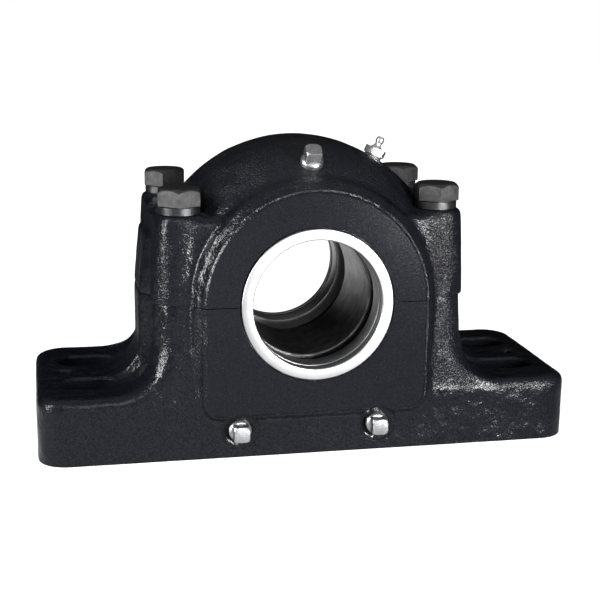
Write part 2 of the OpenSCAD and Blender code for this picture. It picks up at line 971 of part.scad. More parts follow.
housing_base();
housing_cap();
at_bolt(-1, -1, seat_h + washer_t) cap_bolt(24);  // cap_bolt_front_left
at_bolt(1, -1, seat_h + washer_t) cap_bolt(26);  // cap_bolt_front_right
at_bolt(-1, 1, seat_h + washer_t) cap_bolt(20);  // cap_bolt_rear_left
at_bolt(1, 1, seat_h + washer_t) cap_bolt(32);  // cap_bolt_rear_right
at_bolt(-1, -1, seat_h) lock_washer(-20);  // lock_washer_front_left
at_bolt(1, -1, seat_h) lock_washer(200);  // lock_washer_front_right
at_bolt(-1, 1, seat_h) lock_washer(60);  // lock_washer_rear_left
at_bolt(1, 1, seat_h) lock_washer(120);  // lock_washer_rear_right
dowel_pin(-1);  // dowel_pin_left
dowel_pin(1);  // dowel_pin_right
outer_race();
locating_ring(-1);  // locating_ring_front
locating_ring(1);  // locating_ring_rear
inner_race();
roller_row(-1);  // rollers_front
roller_row(1);  // rollers_rear
roller_cage();
guide_ring();
adapter_sleeve();
lock_nut();
tab_washer();
seal_ring(-1);  // seal_ring_front
seal_ring(1);  // seal_ring_rear
seal_o_ring(-1);  // seal_o_ring_front
seal_o_ring(1);  // seal_o_ring_rear
at_drain(-drain_left) pipe_plug();  // drain_plug_left
at_drain(drain_right) pipe_plug();  // drain_plug_right
at_crown_plug() pipe_plug();  // crown_plug
grease_fitting();
check_ball();
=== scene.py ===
# %% [markdown]
# # A pillow block bearing, dressed in Blender
#
# A pillow block carries a heavy shaft. A base and a cap of cast iron clamp a
# roller bearing between them, bright steel seal rings close both sides, and
# square plugs and a grease fitting keep the oil and the grease in.
#
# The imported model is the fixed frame: it says where each part is and how it
# moves. This script gives those parts the skin, the soft edges and the
# finishes of the real ones.

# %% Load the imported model
import math

import bmesh
import bpy
from mathutils import Matrix, Vector


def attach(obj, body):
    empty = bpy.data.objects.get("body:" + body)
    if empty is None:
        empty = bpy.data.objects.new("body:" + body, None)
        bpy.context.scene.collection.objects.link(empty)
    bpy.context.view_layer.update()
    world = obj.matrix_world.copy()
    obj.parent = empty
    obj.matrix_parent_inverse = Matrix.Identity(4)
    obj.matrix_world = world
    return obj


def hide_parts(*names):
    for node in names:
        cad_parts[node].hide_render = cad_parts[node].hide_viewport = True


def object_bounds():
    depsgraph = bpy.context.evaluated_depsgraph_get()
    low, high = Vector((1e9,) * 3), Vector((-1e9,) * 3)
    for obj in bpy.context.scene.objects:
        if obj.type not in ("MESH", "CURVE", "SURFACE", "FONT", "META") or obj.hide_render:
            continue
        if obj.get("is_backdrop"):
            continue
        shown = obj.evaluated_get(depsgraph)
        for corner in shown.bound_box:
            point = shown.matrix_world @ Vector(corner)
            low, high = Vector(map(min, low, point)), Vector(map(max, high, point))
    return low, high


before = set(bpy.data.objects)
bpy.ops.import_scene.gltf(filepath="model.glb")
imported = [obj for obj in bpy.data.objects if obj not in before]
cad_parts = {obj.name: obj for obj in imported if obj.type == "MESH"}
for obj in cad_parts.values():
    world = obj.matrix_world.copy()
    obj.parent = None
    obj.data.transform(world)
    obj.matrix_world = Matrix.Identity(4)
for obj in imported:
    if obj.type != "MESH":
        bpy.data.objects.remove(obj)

MM = 0.001
SHAFT_AXIS = Vector((0, 0, 0.121))
cad_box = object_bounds()

# %% [markdown]
# ## The camera
#
# The picture was taken from a little to the left, above the shaft, with a
# long lens. A long lens keeps the base's edges almost parallel, so the camera
# stands about a metre away and its lens is long too.

# %% Camera
CAMERA_AT = (-0.20185, -0.99769, 0.34689)
CAMERA_TURN = -11.677
CAMERA_DOWN = 13.432
CAMERA_ROLL = 0.560
LENS = 75.79
SENSOR = 36

camera_data = bpy.data.cameras.new("camera")
camera_data.lens = LENS
camera_data.sensor_width = SENSOR
camera_data.sensor_fit = "HORIZONTAL"
camera = bpy.data.objects.new("camera", camera_data)
bpy.context.scene.collection.objects.link(camera)
turn = Matrix.Rotation(math.radians(CAMERA_TURN), 4, "Z")
tip = Matrix.Rotation(math.radians(90 - CAMERA_DOWN), 4, "X")
roll = Matrix.Rotation(math.radians(CAMERA_ROLL), 4, "Z")
camera.matrix_world = Matrix.Translation(CAMERA_AT) @ turn @ tip @ roll
bpy.context.scene.camera = camera
bpy.context.scene.view_settings.view_transform = "Standard"
print("camera", [round(v, 3) for v in camera.matrix_world.translation], "lens", LENS, "mm")

# %% [markdown]
# ## Shaders in few words
#
# A material is a tree of nodes: a texture makes a number at each point, some
# arithmetic shapes it, and a socket of the shader takes it. These helpers each
# place one node, so that a finish can be read from top to bottom.


# %% Node helpers
def node(tree, kind, **values):
    made = tree.nodes.new(kind)
    for key, value in values.items():
        setattr(made, key, value)
    return made


def noise(tree, vector, scale, detail=2.0, rough=0.5, distortion=0.0):
    """Random clouds from 0 to 1. The scale is a number or a socket."""
    made = node(tree, "ShaderNodeTexNoise")
    made.inputs["Detail"].default_value = detail
    made.inputs["Roughness"].default_value = rough
    made.inputs["Distortion"].default_value = distortion
    tree.links.new(vector, made.inputs["Vector"])
    if isinstance(scale, (int, float)):
        made.inputs["Scale"].default_value = scale
    else:
        tree.links.new(scale, made.inputs["Scale"])
    return made.outputs["Fac"]


def maths(tree, operation, *values):
    """One sum of numbers and sockets."""
    made = node(tree, "ShaderNodeMath", operation=operation)
    for socket, value in zip(made.inputs, values):
        if isinstance(value, (int, float)):
            socket.default_value = value
        else:
            tree.links.new(value, socket)
    return made.outputs[0]


def spread(tree, value, low, high, to_low=0.0, to_high=1.0):
    """Stretches the range low to high over another range, and stops at its ends."""
    made = node(tree, "ShaderNodeMapRange", clamp=True)
    tree.links.new(value, made.inputs["Value"])
    made.inputs["From Min"].default_value = low
    made.inputs["From Max"].default_value = high
    made.inputs["To Min"].default_value = to_low
    made.inputs["To Max"].default_value = to_high
    return made.outputs["Result"]


def new_group(name, inputs, outputs):
    """A node group that reads a Vector and some numbers, and puts out values."""
    group = bpy.data.node_groups.new(name, "ShaderNodeTree")
    group.interface.new_socket("Vector", in_out="INPUT", socket_type="NodeSocketVector")
    for socket, value in inputs.items():
        made = group.interface.new_socket(socket, in_out="INPUT", socket_type="NodeSocketFloat")
        made.default_value = value
    for socket in outputs:
        group.interface.new_socket(socket, in_out="OUTPUT", socket_type="NodeSocketFloat")
    read = group.nodes.new("NodeGroupInput").outputs
    written = group.nodes.new("NodeGroupOutput").inputs
    return group, read, written


print("node helpers ready")

# %% [markdown]
# ## Sand grain
#
# A sand mould leaves sharp grains of many sizes on the iron, more of them in
# some patches than in others, and slow lumps under them all. One noise would
# look like plastic, so two sizes of grain and the lumps are added up. A group
# reads the object's own coordinates, in metres, so a pattern keeps its real
# size everywhere. How coarse the grain is comes in from the material.

# %% Sand grain group
SMALL_PER_BIG = 2.2
SMALL_SHARE = 0.30
LUMPS_PER_METRE = 90.0
LUMPS_SHARE = 1.8
PATCHES_PER_METRE = 38.0

SAND, sand_in, sand_out = new_group(
    "sand grain", {"Grains per metre": 600.0, "Coarseness": 0.5}, ("Height", "Patches"))
big = noise(SAND, sand_in["Vector"], sand_in["Grains per metre"], 1.0, 0.5, 0.2)
small_scale = maths(SAND, "MULTIPLY", sand_in["Grains per metre"], SMALL_PER_BIG)
small = noise(SAND, sand_in["Vector"], small_scale, 0.0)
lumps = noise(SAND, sand_in["Vector"], LUMPS_PER_METRE, 2.0)
patches = noise(SAND, sand_in["Vector"], PATCHES_PER_METRE, 2.0)
patch = spread(SAND, patches, 0.40, 0.60)
grain = maths(SAND, "ADD", spread(SAND, big, 0.34, 0.70),
              maths(SAND, "MULTIPLY", small, SMALL_SHARE))
amount = maths(SAND, "MULTIPLY", sand_in["Coarseness"], spread(SAND, patch, 0.0, 1.0, 0.45, 1.0))
height = maths(SAND, "ADD", maths(SAND, "MULTIPLY", grain, amount),
               maths(SAND, "MULTIPLY", lumps, LUMPS_SHARE))
SAND.links.new(height, sand_out["Height"])
SAND.links.new(patch, sand_out["Patches"])
print("group:", SAND.name)

# %% [markdown]
# ## Lathe marks and stains
#
# A lathe leaves fine rings around the shaft's axis. They only depend on the
# distance from the axis and the place along it, so those two are turned into
# a noise's X and Y. A slower noise that also changes across makes streaks.
# Stains are soft clouds of handling and oil, with fine specks between them.

# %% Lathe and stain groups
STREAKS_PER_METRE = 260.0
STREAKS_ACROSS = 9.0
SPECKS_PER_CLOUD = 14.0

LATHE, lathe_in, lathe_out = new_group(
    "lathe marks", {"Rings per metre": 2500.0, "Along per metre": 2500.0}, ("Height", "Streaks"))
parts = node(LATHE, "ShaderNodeSeparateXYZ")
LATHE.links.new(lathe_in["Vector"], parts.inputs[0])
out_x, along_y, out_z = parts.outputs
radius = maths(LATHE, "SQRT", maths(LATHE, "ADD", maths(LATHE, "MULTIPLY", out_x, out_x),
                                    maths(LATHE, "MULTIPLY", out_z, out_z)))
rings = node(LATHE, "ShaderNodeCombineXYZ")
LATHE.links.new(maths(LATHE, "MULTIPLY", radius, lathe_in["Rings per metre"]), rings.inputs["X"])
LATHE.links.new(maths(LATHE, "MULTIPLY", along_y, lathe_in["Along per metre"]), rings.inputs["Y"])
slow = node(LATHE, "ShaderNodeCombineXYZ")
LATHE.links.new(maths(LATHE, "MULTIPLY", radius, STREAKS_PER_METRE), slow.inputs["X"])
LATHE.links.new(maths(LATHE, "MULTIPLY", along_y, STREAKS_PER_METRE), slow.inputs["Y"])
LATHE.links.new(maths(LATHE, "MULTIPLY", out_x, STREAKS_ACROSS), slow.inputs["Z"])
LATHE.links.new(noise(LATHE, rings.outputs[0], 1.0, 2.0), lathe_out["Height"])
LATHE.links.new(noise(LATHE, slow.outputs[0], 1.0, 3.0), lathe_out["Streaks"])

STAIN, stain_in, stain_out = new_group("stains", {"Clouds per metre": 120.0}, ("Clouds", "Specks"))
clouds = noise(STAIN, stain_in["Vector"], stain_in["Clouds per metre"], 4.0, 0.6, 0.3)
speck_scale = maths(STAIN, "MULTIPLY", stain_in["Clouds per metre"], SPECKS_PER_CLOUD)
specks = noise(STAIN, stain_in["Vector"], speck_scale, 2.0)
STAIN.links.new(spread(STAIN, clouds, 0.3, 0.7), stain_out["Clouds"])
STAIN.links.new(spread(STAIN, specks, 0.35, 0.7), stain_out["Specks"])
print("groups:", LATHE.name, "and", STAIN.name)

# %% [markdown]
# ## A finish
#
# Every finish here is one Principled shader that the groups feed, so it is
# worth a small class: it makes the material, moves the pattern's centre where
# a lathe's axis asks for it, and links a mask to the bump, the colour or the
# roughness. What is the same all over is set on the shader's own sockets.


# %% Finish helper
class Finish:
    """One material with its Principled shader, its coordinates and shortcuts."""

    def __init__(self, name, colour, metallic, roughness, specular=0.5, centre=(0, 0, 0)):
        self.material = bpy.data.materials.new(name)
        self.material.use_nodes = True
        self.tree = self.material.node_tree
        self.shader = self.tree.nodes["Principled BSDF"]
        self.shader.inputs["Base Color"].default_value = (*colour, 1)
        self.shader.inputs["Metallic"].default_value = metallic
        self.shader.inputs["Roughness"].default_value = roughness
        self.shader.inputs["Specular IOR Level"].default_value = specular
        self.colour = colour
        own = node(self.tree, "ShaderNodeTexCoord")
        shift = node(self.tree, "ShaderNodeMapping", vector_type="POINT")
        shift.inputs["Location"].default_value = [-v for v in centre]
        self.tree.links.new(own.outputs["Object"], shift.inputs["Vector"])
        self.place = shift.outputs["Vector"]

    def group(self, tree, **values):
        """Places a node group with its own values and returns its outputs."""
        made = node(self.tree, "ShaderNodeGroup", node_tree=tree)
        self.tree.links.new(self.place, made.inputs["Vector"])
        for key, value in values.items():
            made.inputs[key.replace("_", " ")].default_value = value
        return made.outputs

    def bump(self, height, strength, distance, under=None):
        """Tilts the surface by a height, on top of another bump if there is one."""
        made = node(self.tree, "ShaderNodeBump")
        made.inputs["Strength"].default_value = strength
        made.inputs["Distance"].default_value = distance
        self.tree.links.new(height, made.inputs["Height"])
        if under is not None:
            self.tree.links.new(under, made.inputs["Normal"])
        self.tree.links.new(made.outputs["Normal"], self.shader.inputs["Normal"])
        return made.outputs["Normal"]

    def colours(self, mask, other, out_of=None):
        """Mixes the finish's colour, or an earlier mix, towards another by a mask."""
        made = node(self.tree, "ShaderNodeMix", data_type="RGBA")
        self.tree.links.new(mask, made.inputs["Factor"])
        if out_of is None:
            made.inputs["A"].default_value = (*self.colour, 1)
        else:
            self.tree.links.new(out_of, made.inputs["A"])
        made.inputs["B"].default_value = (*other, 1)
        self.tree.links.new(made.outputs["Result"], self.shader.inputs["Base Color"])
        return made.outputs["Result"]

    def roughness(self, mask, low, high):
        """Lets the roughness run from low to high by a mask."""
        amount = spread(self.tree, mask, 0, 1, low, high)
        self.tree.links.new(amount, self.shader.inputs["Roughness"])


print("finish helper ready")

# %% [markdown]
# ## Black paint over cast iron
#
# The housing is cast in sand and then sprayed satin black. The paint follows
# every grain, so the surface glitters wherever light grazes it. The grain is
# coarse on the right columns and on the crown and fine elsewhere, so its
# coarseness is painted by place. Pale dust sits in the pits as fine specks.

# %% Cast paint
CAST_PAINT = Finish("cast paint", (0.0026, 0.0028, 0.0044), 0.0, 0.20, specular=0.28)
tree = CAST_PAINT.tree
sand = CAST_PAINT.group(SAND, Grains_per_metre=760.0)
place = node(tree, "ShaderNodeSeparateXYZ")
tree.links.new(CAST_PAINT.place, place.inputs[0])
to_the_right = spread(tree, place.outputs["X"], 0.050, 0.095, 0.21, 0.62)
above_the_foot = spread(tree, place.outputs["Z"], 0.040, 0.058, 0.20, 1.0)
walls = maths(tree, "MULTIPLY", to_the_right, above_the_foot)
crown = spread(tree, place.outputs["Z"], 0.195, 0.215, 0.0, 0.70)
tree.links.new(maths(tree, "MAXIMUM", walls, crown), sand["Height"].node.inputs["Coarseness"])
CAST_PAINT.bump(sand["Height"], 1.0, 0.0008)
shine = maths(tree, "ADD", spread(tree, sand["Patches"], 0, 1, 0.16, 0.22),
              maths(tree, "MULTIPLY", crown, 0.26))
tree.links.new(shine, CAST_PAINT.shader.inputs["Roughness"])
patched = CAST_PAINT.colours(sand["Patches"], (0.0018, 0.0020, 0.0032))
cast_dust = CAST_PAINT.group(STAIN, Clouds_per_metre=64.0)
CAST_PAINT.colours(cast_dust["Specks"], (0.0100, 0.0105, 0.0155), out_of=patched)
print("made", CAST_PAINT.material.name)

# %% [markdown]
# The flat faces are milled or turned before they are sprayed, so the same
# paint lies smooth on them and only clouds and dust show. The bores get no
# paint: there the turned iron is bare.

# %% Machined paint and bored iron
FACE_PAINT = Finish("machined paint", (0.0046, 0.0048, 0.0084), 0.0, 0.16, specular=0.25)
face_stain = FACE_PAINT.group(STAIN, Clouds_per_metre=90.0)
FACE_PAINT.bump(face_stain["Specks"], 0.25, 0.00008)
clouded = FACE_PAINT.colours(face_stain["Clouds"], (0.0030, 0.0032, 0.0054))
face_dust = FACE_PAINT.group(STAIN, Clouds_per_metre=64.0)
FACE_PAINT.colours(face_dust["Specks"], (0.0080, 0.0084, 0.0124), out_of=clouded)

BORE_IRON = Finish("bored iron", (0.08, 0.08, 0.08), 0.6, 0.5, centre=SHAFT_AXIS)
bored = BORE_IRON.group(LATHE)
BORE_IRON.bump(bored["Height"], 0.4, 0.0001)
BORE_IRON.colours(bored["Streaks"], (0.05, 0.05, 0.052))
print("made", FACE_PAINT.material.name, "and", BORE_IRON.material.name)

# %% [markdown]
# ## Helpers for modelling
#
# An operator works on everything that is selected, so each step first selects
# one object alone. Modifiers are applied as soon as they are set, and a bar's
# place is moved into its mesh as soon as it is made.


# %% Select, copy and cut
MERGE = 1e-6


def take(piece):
    """Selects one object and nothing else."""
    if bpy.context.mode != "OBJECT":
        bpy.ops.object.mode_set(mode="OBJECT")
    bpy.ops.object.select_all(action="DESELECT")
    piece.select_set(True)
    bpy.context.view_layer.objects.active = piece
    return piece


def settle(piece):
    """Moves the object's place into its mesh."""
    take(piece)
    bpy.ops.object.transform_apply(location=True, rotation=True, scale=True)
    return piece


def use_modifier(piece, kind, **values):
    """Adds one modifier, sets it and applies it."""
    take(piece)
    modifier = piece.modifiers.new(kind.lower(), kind)
    for key, value in values.items():
        setattr(modifier, key, value)
    bpy.ops.object.modifier_apply(modifier=modifier.name)
    return piece


def post(radius, length, at, axis, corners):
    """A round bar with its middle at a point."""
    turns = {"Y": (math.pi / 2, 0, 0), "Z": (0, 0, 0)}
    bpy.ops.object.select_all(action="DESELECT")
    bpy.ops.mesh.primitive_cylinder_add(
        vertices=corners, radius=radius, depth=length, location=at, rotation=turns[axis])
    return settle(bpy.context.object)


def cut(piece, cutter):
    """Cuts one closed shape out of another and deletes the cutter."""
    use_modifier(piece, "BOOLEAN", operation="DIFFERENCE", solver="MANIFOLD", object=cutter)
    bpy.data.meshes.remove(cutter.data)


def new_object(name, data):
    """An object in the scene that shows a mesh or a lamp."""
    made = bpy.data.objects.new(name, data)
    bpy.context.scene.collection.objects.link(made)
    return made


def copy_of_node(node_name, name):
    """A copy of a CAD node with its loose triangles merged."""
    piece = new_object(name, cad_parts[node_name].data.copy())
    piece.data.name = name
    piece.data.materials.clear()
    take(piece)
    bpy.ops.object.mode_set(mode="EDIT")
    bpy.ops.mesh.select_all(action="SELECT")
    bpy.ops.mesh.remove_doubles(threshold=MERGE)
    bpy.ops.object.mode_set(mode="OBJECT")
    return piece


def paint_on(piece, *finishes):
    """Gives a piece one material slot for each finish, in this order."""
    piece.data.materials.clear()
    for finish in finishes:
        piece.data.materials.append(finish.material)


print("modelling helpers ready, points merge within", MERGE / MM, "mm")

# %% [markdown]
# ## The castings
#
# A real casting has no sharp inside corner: sand can't hold one. The frame's
# solids are crisp, so each casting starts as a copy of its solid. The faces
# that a machine cuts later are first pushed outwards, the holes are filled,
# and a fine remesh and a smoothing turn every edge into a soft, slightly wavy
# one. Then the same machine cuts are made again, through the soft shape, and
# they come out crisp, as on the real part.

# %% Steps that make a sand-cast skin
SPLIT_Z = 0.121
HUB_Y = 0.090
BOLT_X, BOLT_Y = 0.101, 0.056
DOWEL_X = 0.115
VOXEL = 0.0019
SOFT_STEPS = 14
WAVE_HEIGHT = 0.0006
BOLT_FILLER, DOWEL_FILLER = 0.0125, 0.0085
# radius and half length of what fills the seat, the chambers and the walls' bores
BORE_FILLERS = ((0.1010, 0.0370), (0.0870, 0.0555), (0.0710, HUB_Y + 0.006))

waves = bpy.data.textures.new("casting waves", "CLOUDS")
waves.noise_scale = 0.022
waves.noise_depth = 1


def stretch_faces(piece, wanted, move):
    """Moves the faces for which wanted(centre, normal) is true, all by one step."""
    take(piece)
    bpy.ops.object.mode_set(mode="EDIT")
    bpy.ops.mesh.select_mode(type="FACE")
    bpy.ops.mesh.select_all(action="DESELECT")
    mesh = bmesh.from_edit_mesh(piece.data)
    for face in mesh.faces:
        if wanted(face.calc_center_median(), face.normal):
            face.select_set(True)
    bmesh.update_edit_mesh(piece.data)
    bpy.ops.transform.translate(value=move)
    bpy.ops.object.mode_set(mode="OBJECT")


def add_shape(piece, filler):
    """Joins a filler into a mesh. The remesh fuses the two."""
    take(piece)
    filler.select_set(True)
    bpy.ops.object.join()


def fill_holes(piece, low, high):
    """Closes the bore, the bolt holes and the dowel holes before the remesh."""
    for radius, half in BORE_FILLERS:
        add_shape(piece, post(radius, 2 * half, SHAFT_AXIS, "Y", 64))
    for side_x in (-1, 1):
        for side_y in (-1, 1):
            at = (side_x * BOLT_X, side_y * BOLT_Y, (low + high) / 2)
            add_shape(piece, post(BOLT_FILLER, high - low, at, "Z", 32))
        at = (side_x * DOWEL_X, 0, (low + high) / 2)
        add_shape(piece, post(DOWEL_FILLER, high - low, at, "Z", 32))


def soften(piece):
    """Sand-cast skin: fine remesh, smoothing, slow waves."""
    use_modifier(piece, "REMESH", mode="VOXEL", voxel_size=VOXEL)
    use_modifier(piece, "SMOOTH", factor=0.5, iterations=SOFT_STEPS)
    use_modifier(piece, "DISPLACE", texture=waves, texture_coords="LOCAL", strength=WAVE_HEIGHT,
                 mid_level=0.5)


print("skin:", VOXEL / MM, "mm voxels,", SOFT_STEPS, "smoothing steps")

# %% [markdown]
# ## Outlines for the hub and the slots
#
# The hub's face is an arch above the split and square with round corners
# below it. Its edge is chamfered, and its sides slope away from it, because a
# pattern leaves the sand only if its sides have draft. The bolt slots are
# long holes with round ends and a broken upper edge. No primitive has these
# outlines, so each is a row of points, and a body is skinned through several
# outlines of growing size.


# %% Hub and slot bodies
HUB_RADIUS, HUB_LOW, HUB_CORNER = 0.0855, 0.036, 0.011
ARCH_STEPS, CORNER_STEPS, SLOT_STEPS = 64, 12, 24
SLOT_X, SLOT_Y = 0.1715, 0.033
SLOT_END, SLOT_RADIUS = 0.009, 0.014
SLOTS = [(side_x * SLOT_X, side_y * SLOT_Y) for side_x in (-1, 1) for side_y in (-1, 1)]
# how far each outline grows, and where it lies along Y
HUB_DRAFT = ((0.0010, HUB_Y + 0.0040), (0.0010, HUB_Y - 0.0005), (0.0085, HUB_Y - 0.0085),
             (0.0105, HUB_Y - 0.0155))
HUB_CHAMFER = ((-0.0009, HUB_Y + 0.0003), (0.0009, HUB_Y - 0.0015), (0.014, HUB_Y - 0.0015),
               (0.014, HUB_Y + 0.0003))
# the height of each outline, and how far it grows
SLOT_FILLER = ((-0.0030, 0.0005), (0.0506, 0.0005))
SLOT_CUTTER = ((-0.005, 0), (0.0490, 0), (0.0511, 0.0020), (0.0600, 0.0020))


def through_loops(name, rings, closed):
    """A body through outlines of equal length: a closed frame, or a plug with two ends."""
    shape = bmesh.new()
    rings = [[shape.verts.new(point) for point in ring] for ring in rings]
    for i in range(len(rings) if closed else len(rings) - 1):
        ring, after = rings[i], rings[(i + 1) % len(rings)]
        for j in range(len(ring)):
            k = (j + 1) % len(ring)
            shape.faces.new((ring[j], ring[k], after[k], after[j]))
    if not closed:
        shape.faces.new(rings[0])
        shape.faces.new(rings[-1])
    bmesh.ops.recalc_face_normals(shape, faces=shape.faces)
    mesh = bpy.data.meshes.new(name)
    shape.to_mesh(mesh)
    shape.free()
    return new_object(name, mesh)


def hub_outline(grow):
    """The hub face's outline as X and Z: round above the split, square below."""
    points = []
    for i in range(ARCH_STEPS + 1):
        angle = math.pi * i / ARCH_STEPS
        points.append(((HUB_RADIUS + grow) * math.cos(angle),
                       SHAFT_AXIS.z + (HUB_RADIUS + grow) * math.sin(angle)))
    for side, start in ((-1, math.pi), (1, 1.5 * math.pi)):
        for i in range(CORNER_STEPS + 1):
            angle = start + i / CORNER_STEPS * math.pi / 2
            points.append((side * (HUB_RADIUS - HUB_CORNER) + (HUB_CORNER + grow) * math.cos(angle),
                           HUB_LOW + HUB_CORNER + (HUB_CORNER + grow) * math.sin(angle)))
    return points


def hub_shape(name, loops, side, closed):
    """A body through hub outlines, each given by its grow and its place along Y."""
    rings = [[(x, side * y, z) for x, z in hub_outline(grow)] for grow, y in loops]
    return through_loops(name, rings, closed)


def slot_outline(x, y, z, grow):
    """A long hole's outline at one height: two half circles."""
    ring = []
    for end, start in ((1, -math.pi / 2), (-1, math.pi / 2)):
        for i in range(SLOT_STEPS + 1):
            angle = start + math.pi * i / SLOT_STEPS
            ring.append((x + end * SLOT_END + (SLOT_RADIUS + grow) * math.cos(angle),
                         y + (SLOT_RADIUS + grow) * math.sin(angle), z))
    return ring


def slot_shape(x, y, levels):
    """A body through slot outlines, each given by its height and its grow."""
    return through_loops("slot", [slot_outline(x, y, z, grow) for z, grow in levels], False)


print("hub outline:", len(hub_outline(0)), "points, slots:", len(SLOTS))

# %% [markdown]
# ## The base's skin
#
# The base carries the bearing and has two feet with two slots each. What a
# machine cuts later gets some extra iron first: at the split, under the feet
# and on the hub's two faces. The slots are filled too, because a smoothed
# slot would lose its edge.

# %% Base
HUB_STOCK, SPLIT_STOCK, FOOT_STOCK = 0.006, 0.002, 0.004
FLAT, NEAR = 0.99, 1e-4


def stretch_hub(piece):
    """Pushes the hub's two faces outwards."""
    for side in (-1, 1):
        stretch_faces(piece, lambda c, n: n.y * side > FLAT and abs(c.y - side * HUB_Y) < NEAR,
                      (0, side * HUB_STOCK, 0))


def hub_draft(piece):
    """Adds the sloping sides around the hub's two faces."""
    for side in (-1, 1):
        add_shape(piece, hub_shape("hub draft", HUB_DRAFT, side, False))


base = copy_of_node("housing_base", "base_casting")
stretch_faces(base, lambda c, n: n.z > FLAT and abs(c.z - SPLIT_Z) < NEAR, (0, 0, SPLIT_STOCK))
stretch_faces(base, lambda c, n: n.z < -FLAT and abs(c.z) < NEAR, (0, 0, -FOOT_STOCK))
stretch_hub(base)
fill_holes(base, 0.070, 0.133)
hub_draft(base)
for x, y in SLOTS:
    add_shape(base, slot_shape(x, y, SLOT_FILLER))
print("base before the remesh:", len(base.data.polygons), "faces")
soften(base)
paint_on(base, CAST_PAINT, FACE_PAINT, BORE_IRON)
print("base after it:", len(base.data.polygons), "faces")

# %% [markdown]
# ## The cap's skin
#
# The cap is cast and softened in the same way. Its crown has two leaning
# holes, one for a plug and one for the grease fitting. They are filled by
# bars that lean as the holes do.

# %% Cap
CROWN_PLUG = Vector((0, -0.060, 0.22519))
CROWN_TILT = math.radians(33.12)
FITTING = Vector((0.06306, 0, 0.22072))
FITTING_LEAN = math.radians(25)


def leaning_post(radius, low, high, foot, lean, around, corners=48):
    """A round bar along a leaning axis, from low to high above its foot."""
    tilt = Matrix.Rotation(lean, 4, around)
    axis = tilt @ Vector((0, 0, 1))
    bpy.ops.object.select_all(action="DESELECT")
    bpy.ops.mesh.primitive_cylinder_add(
        vertices=corners, radius=radius, depth=high - low,
        location=Vector(foot) + axis * (high + low) / 2, rotation=tilt.to_euler())
    return settle(bpy.context.object)


def plug_post(radius, low, high):
    return leaning_post(radius, low, high, CROWN_PLUG, CROWN_TILT, "X")


def fitting_post(radius, low, high):
    return leaning_post(radius, low, high, FITTING, FITTING_LEAN, "Y")


cap = copy_of_node("housing_cap", "cap_casting")
stretch_faces(cap, lambda c, n: n.z < -FLAT and abs(c.z - SPLIT_Z) < NEAR, (0, 0, -SPLIT_STOCK))
stretch_hub(cap)
fill_holes(cap, 0.107, 0.188)
hub_draft(cap)
add_shape(cap, plug_post(0.0100, -0.032, 0.0001))
add_shape(cap, fitting_post(0.0078, -0.032, 0.0001))
soften(cap)
paint_on(cap, CAST_PAINT, FACE_PAINT, BORE_IRON)
print("cap:", len(cap.data.polygons), "faces")

# %% [markdown]
# ## Flat cuts and the bore
#
# Now the machines come back. A plane cuts the split, the underside and the
# hub's faces, and closes each cut. A fine gap at the split keeps the seam
# dark, as it is on the real housing. A frame-shaped cutter breaks the hub's
# edge, and round bars turn the seat, the chambers, the walls' bores and the
# grooves for the seals' fins.

# %% Split, feet, hub faces and bore
FACE_SLOT, BORE_SLOT = 1, 2
SPLIT_GAP = 0.0003
BORE_CUTS = ((0.10004, 0.0357), (0.0860, 0.0540), (0.0599, 0.1000))
FIN_GROOVES = (0.0702, 0.0792)
FIN_RADIUS, FIN_WIDTH = 0.0699, 0.005


def slice_off(piece, point, normal):
    """Cuts the mesh at a plane and closes it with a face of machined paint."""
    take(piece)
    bpy.ops.object.mode_set(mode="EDIT")
    bpy.ops.mesh.select_all(action="SELECT")
    bpy.ops.mesh.bisect(plane_co=point, plane_no=normal, use_fill=True, clear_outer=True)
    piece.active_material_index = FACE_SLOT
    bpy.ops.object.material_slot_assign()
    bpy.ops.object.mode_set(mode="OBJECT")


slice_off(base, (0, 0, SPLIT_Z - SPLIT_GAP), (0, 0, 1))
slice_off(base, (0, 0, 0), (0, 0, -1))
slice_off(cap, (0, 0, SPLIT_Z + SPLIT_GAP), (0, 0, -1))
for piece in (base, cap):
    for side in (-1, 1):
        slice_off(piece, (0, side * HUB_Y, 0), (0, side, 0))
        cut(piece, hub_shape("hub frame", HUB_CHAMFER, side, True))
    for radius, half in BORE_CUTS:
        cut(piece, post(radius, 2 * half, SHAFT_AXIS, "Y", 160))
    for side in (-1, 1):
        for middle in FIN_GROOVES:
            cut(piece, post(FIN_RADIUS, FIN_WIDTH, (0, side * middle, SHAFT_AXIS.z), "Y", 160))
    print(piece.name, "machined:", len(piece.data.polygons), "faces")

# %% [markdown]
# ## Holes
#
# The drill presses follow: threads in the base and clearance holes in the cap
# for its bolts, with a flat seat under each head, two dowel holes, a centre
# mark on each foot, the four slots, and the plugs' and the fitting's holes
# with their spot faces.

# %% Bolt, dowel, slot, plug and fitting holes
BOLTS = [(side_x * BOLT_X, side_y * BOLT_Y) for side_x in (-1, 1) for side_y in (-1, 1)]
SEAT_Z = 0.1885
THREAD_RADIUS, CLEAR_RADIUS, SEAT_RADIUS = 0.009625, 0.010425, 0.0190
DOWEL_RADIUS, DOWEL_LENGTH = 0.00637, 0.041
MARK_X, MARK_Y, MARK_RADIUS = 0.189, 0.002, 0.004
DRAIN_FACE_RADIUS, DRAIN_RADIUS = 0.0155, 0.0089
DRAINS = ((-0.059, -0.0812, 0.022), (0.050, -0.0812, 0.022))
# radius, low and high along each hole's own axis: spot face, thread, passage
CROWN_HOLE = ((0.0113, 0, 0.020), (0.0089, -0.013, 0.002), (0.0048, -0.030, 0.0))
FITTING_HOLE = ((0.0102, 0, 0.012), (0.0068, -0.012, 0.002), (0.0025, -0.030, 0.0))

